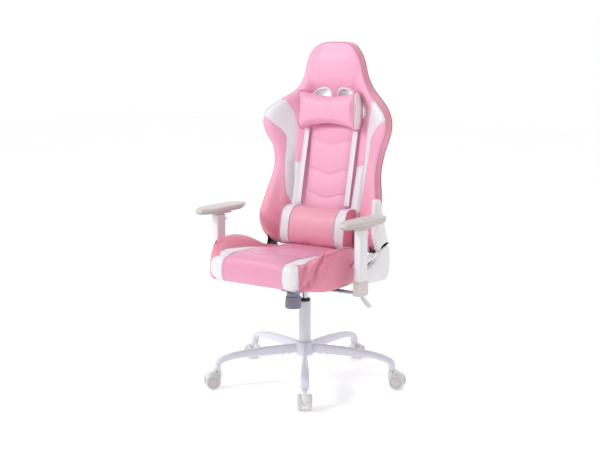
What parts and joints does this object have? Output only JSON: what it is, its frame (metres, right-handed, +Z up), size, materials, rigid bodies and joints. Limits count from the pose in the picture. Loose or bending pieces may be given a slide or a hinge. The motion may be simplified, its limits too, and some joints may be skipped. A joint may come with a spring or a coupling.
{
  "type": "gaming chair",
  "caption": "Office gaming chair: bucket seat, reclining winged back with harness holes and two pillows, adjustable armrests, gas lift and a star base on swivelling casters.",
  "frame": {"origin": "on the floor, under the middle of the chair's outline", "axes": "+Z up; the sitter faces -Y; +X is the sitter's left, the side with the recline lever and its covers"},
  "size_m": [0.7622, 0.735, 1.284],
  "materials": {
    "white_paint": "satin",
    "white_plastic": "satin",
    "pale_grey_plastic": "matte",
    "black_plastic": "satin",
    "black_steel": "satin",
    "chromed_steel": "polished",
    "pink_leatherette": "satin",
    "white_leatherette": "satin"
  },
  "bodies": {
    "base": {"base_hub": "white_paint", "base_leg_1": "white_paint", "base_leg_2": "white_paint", "base_leg_3": "white_paint", "base_leg_4": "white_paint", "base_leg_5": "white_paint", "column_tube": "white_paint", "column_bushing": "black_plastic", "piston_rod": "chromed_steel"},
    "caster_1": {"caster_fork_1": "white_plastic"},
    "wheel_1a": {"caster_wheel_1a": "white_plastic"},
    "wheel_1b": {"caster_wheel_1b": "white_plastic"},
    "caster_2": {"caster_fork_2": "white_plastic"},
    "wheel_2a": {"caster_wheel_2a": "white_plastic"},
    "wheel_2b": {"caster_wheel_2b": "white_plastic"},
    "caster_3": {"caster_fork_3": "white_plastic"},
    "wheel_3a": {"caster_wheel_3a": "white_plastic"},
    "wheel_3b": {"caster_wheel_3b": "white_plastic"},
    "caster_4": {"caster_fork_4": "white_plastic"},
    "wheel_4a": {"caster_wheel_4a": "white_plastic"},
    "wheel_4b": {"caster_wheel_4b": "white_plastic"},
    "caster_5": {"caster_fork_5": "white_plastic"},
    "wheel_5a": {"caster_wheel_5a": "white_plastic"},
    "wheel_5b": {"caster_wheel_5b": "white_plastic"},
    "lift": {"gas_cylinder": "chromed_steel"},
    "swivel": {"mechanism_housing": "black_steel", "tilt_pin": "chromed_steel"},
    "knob": {"tension_knob": "pale_grey_plastic"},
    "lift_lever": {"height_lever": "white_plastic"},
    "seat": {"seat_plate": "black_steel", "seat_pan": "black_steel", "seat_cushion": "pink_leatherette", "recliner_lower_left": "black_steel", "recliner_lower_right": "black_steel", "sync_rod": "black_steel", "arm_bracket_left": "white_paint", "arm_bracket_right": "white_paint", "arm_sleeve_left": "white_plastic", "arm_sleeve_right": "white_plastic", "recliner_cover_lower": "white_plastic"},
    "arm_post_left": {"arm_column_left": "pale_grey_plastic"},
    "armrest_left": {"arm_pad_base_left": "pale_grey_plastic", "arm_pad_left": "pale_grey_plastic"},
    "arm_latch_left": {"arm_button_left": "white_plastic"},
    "arm_post_right": {"arm_column_right": "pale_grey_plastic"},
    "armrest_right": {"arm_pad_base_right": "pale_grey_plastic", "arm_pad_right": "pale_grey_plastic"},
    "arm_latch_right": {"arm_button_right": "white_plastic"},
    "release_lever": {"recline_lever": "white_plastic"},
    "back": {"recliner_upper_left": "black_steel", "recliner_upper_right": "black_steel", "back_frame": "black_steel", "back_cushion": "pink_leatherette", "harness_bezel_left": "white_plastic", "harness_bezel_right": "white_plastic", "recliner_cover_upper": "white_plastic", "head_pillow": "pink_leatherette", "lumbar_pillow": "pink_leatherette", "strap_left": "white_leatherette", "strap_right": "white_leatherette"}
  },
  "joints": [
    {"name": "caster_1_swivel", "type": "hinge", "parent": "base", "child": "caster_1", "pos_m": [0.19186, -0.31202, 0.07], "axis": [0, 0, 1], "continuous": true},
    {"name": "wheel_1a_spin", "type": "hinge", "parent": "caster_1", "child": "wheel_1a", "pos_m": [0.20358, -0.32945, 0.029], "axis": [0.83, 0.5577, 0], "continuous": true},
    {"name": "wheel_1b_spin", "type": "hinge", "parent": "caster_1", "child": "wheel_1b", "pos_m": [0.20358, -0.32945, 0.029], "axis": [0.83, 0.5577, 0], "continuous": true},
    {"name": "caster_2_swivel", "type": "hinge", "parent": "base", "child": "caster_2", "pos_m": [0.33084, 0.06774, 0.07], "axis": [0, 0, 1], "continuous": true},
    {"name": "wheel_2a_spin", "type": "hinge", "parent": "caster_2", "child": "wheel_2a", "pos_m": [0.35104, 0.0735, 0.029], "axis": [-0.274, 0.9617, 0], "continuous": true},
    {"name": "wheel_2b_spin", "type": "hinge", "parent": "caster_2", "child": "wheel_2b", "pos_m": [0.35104, 0.0735, 0.029], "axis": [-0.274, 0.9617, 0], "continuous": true},
    {"name": "caster_3_swivel", "type": "hinge", "parent": "base", "child": "caster_3", "pos_m": [0.0126, 0.31727, 0.07], "axis": [0, 0, 1], "continuous": true},
    {"name": "wheel_3a_spin", "type": "hinge", "parent": "caster_3", "child": "wheel_3a", "pos_m": [0.01337, 0.33825, 0.029], "axis": [-0.9993, 0.0366, 0], "continuous": true},
    {"name": "wheel_3b_spin", "type": "hinge", "parent": "caster_3", "child": "wheel_3b", "pos_m": [0.01337, 0.33825, 0.029], "axis": [-0.9993, 0.0366, 0], "continuous": true},
    {"name": "caster_4_swivel", "type": "hinge", "parent": "base", "child": "caster_4", "pos_m": [-0.32305, 0.09172, 0.07], "axis": [0, 0, 1], "continuous": true},
    {"name": "wheel_4a_spin", "type": "hinge", "parent": "caster_4", "child": "wheel_4a", "pos_m": [-0.34277, 0.09894, 0.029], "axis": [-0.3437, -0.9391, 0], "continuous": true},
    {"name": "wheel_4b_spin", "type": "hinge", "parent": "caster_4", "child": "wheel_4b", "pos_m": [-0.34277, 0.09894, 0.029], "axis": [-0.3437, -0.9391, 0], "continuous": true},
    {"name": "caster_5_swivel", "type": "hinge", "parent": "base", "child": "caster_5", "pos_m": [-0.21226, -0.29721, 0.07], "axis": [0, 0, 1], "continuous": true},
    {"name": "wheel_5a_spin", "type": "hinge", "parent": "caster_5", "child": "wheel_5a", "pos_m": [-0.22522, -0.31373, 0.029], "axis": [0.7869, -0.617, 0], "continuous": true},
    {"name": "wheel_5b_spin", "type": "hinge", "parent": "caster_5", "child": "wheel_5b", "pos_m": [-0.22522, -0.31373, 0.029], "axis": [0.7869, -0.617, 0], "continuous": true},
    {"name": "gas_lift", "type": "slide", "parent": "base", "child": "lift", "axis": [0, 0, 1], "range_m": [-0.015, 0.085]},
    {"name": "seat_swivel", "type": "hinge", "parent": "lift", "child": "swivel", "pos_m": [0, -0.0265, 0.36], "axis": [0, 0, 1], "continuous": true},
    {"name": "tension_knob_turn", "type": "hinge", "parent": "swivel", "child": "knob", "pos_m": [0, -0.1045, 0.343], "axis": [0, 0, 1], "continuous": true},
    {"name": "height_lever_lift", "type": "hinge", "parent": "swivel", "child": "lift_lever", "pos_m": [0.045, -0.0565, 0.373], "axis": [0, -1, 0], "range_deg": [0, 4], "stiffness_Nm_per_rad": 4, "springref_deg": -4.58},
    {"name": "seat_tilt", "type": "hinge", "parent": "swivel", "child": "seat", "pos_m": [0, -0.0865, 0.376], "axis": [-1, 0, 0], "range_deg": [0, 12], "stiffness_Nm_per_rad": 100, "springref_deg": -28.65},
    {"name": "arm_height_left", "type": "slide", "parent": "seat", "child": "arm_post_left", "axis": [0, 0, 1], "range_m": [0, 0.07]},
    {"name": "arm_pad_turn_left", "type": "hinge", "parent": "arm_post_left", "child": "armrest_left", "pos_m": [0.318, -0.1455, 0.643], "axis": [0, 0, 1], "range_deg": [-15, 15]},
    {"name": "arm_button_press_left", "type": "slide", "parent": "seat", "child": "arm_latch_left", "axis": [0, -1, 0], "range_m": [0, 0.003], "stiffness_N_per_m": 400, "springref_m": -0.002},
    {"name": "arm_height_right", "type": "slide", "parent": "seat", "child": "arm_post_right", "axis": [0, 0, 1], "range_m": [0, 0.07]},
    {"name": "arm_pad_turn_right", "type": "hinge", "parent": "arm_post_right", "child": "armrest_right", "pos_m": [-0.318, -0.1455, 0.643], "axis": [0, 0, 1], "range_deg": [-15, 15]},
    {"name": "arm_button_press_right", "type": "slide", "parent": "seat", "child": "arm_latch_right", "axis": [0, -1, 0], "range_m": [0, 0.003], "stiffness_N_per_m": 400, "springref_m": -0.002},
    {"name": "recline_lever_lift", "type": "hinge", "parent": "seat", "child": "release_lever", "pos_m": [0.271, -0.0085, 0.508], "axis": [-1, 0, 0], "range_deg": [0, 25], "stiffness_Nm_per_rad": 1.5, "springref_deg": -11.46},
    {"name": "back_recline", "type": "hinge", "parent": "seat", "child": "back", "pos_m": [0, 0.0855, 0.478], "axis": [-1, 0, 0], "range_deg": [0, 60]}
  ]
}
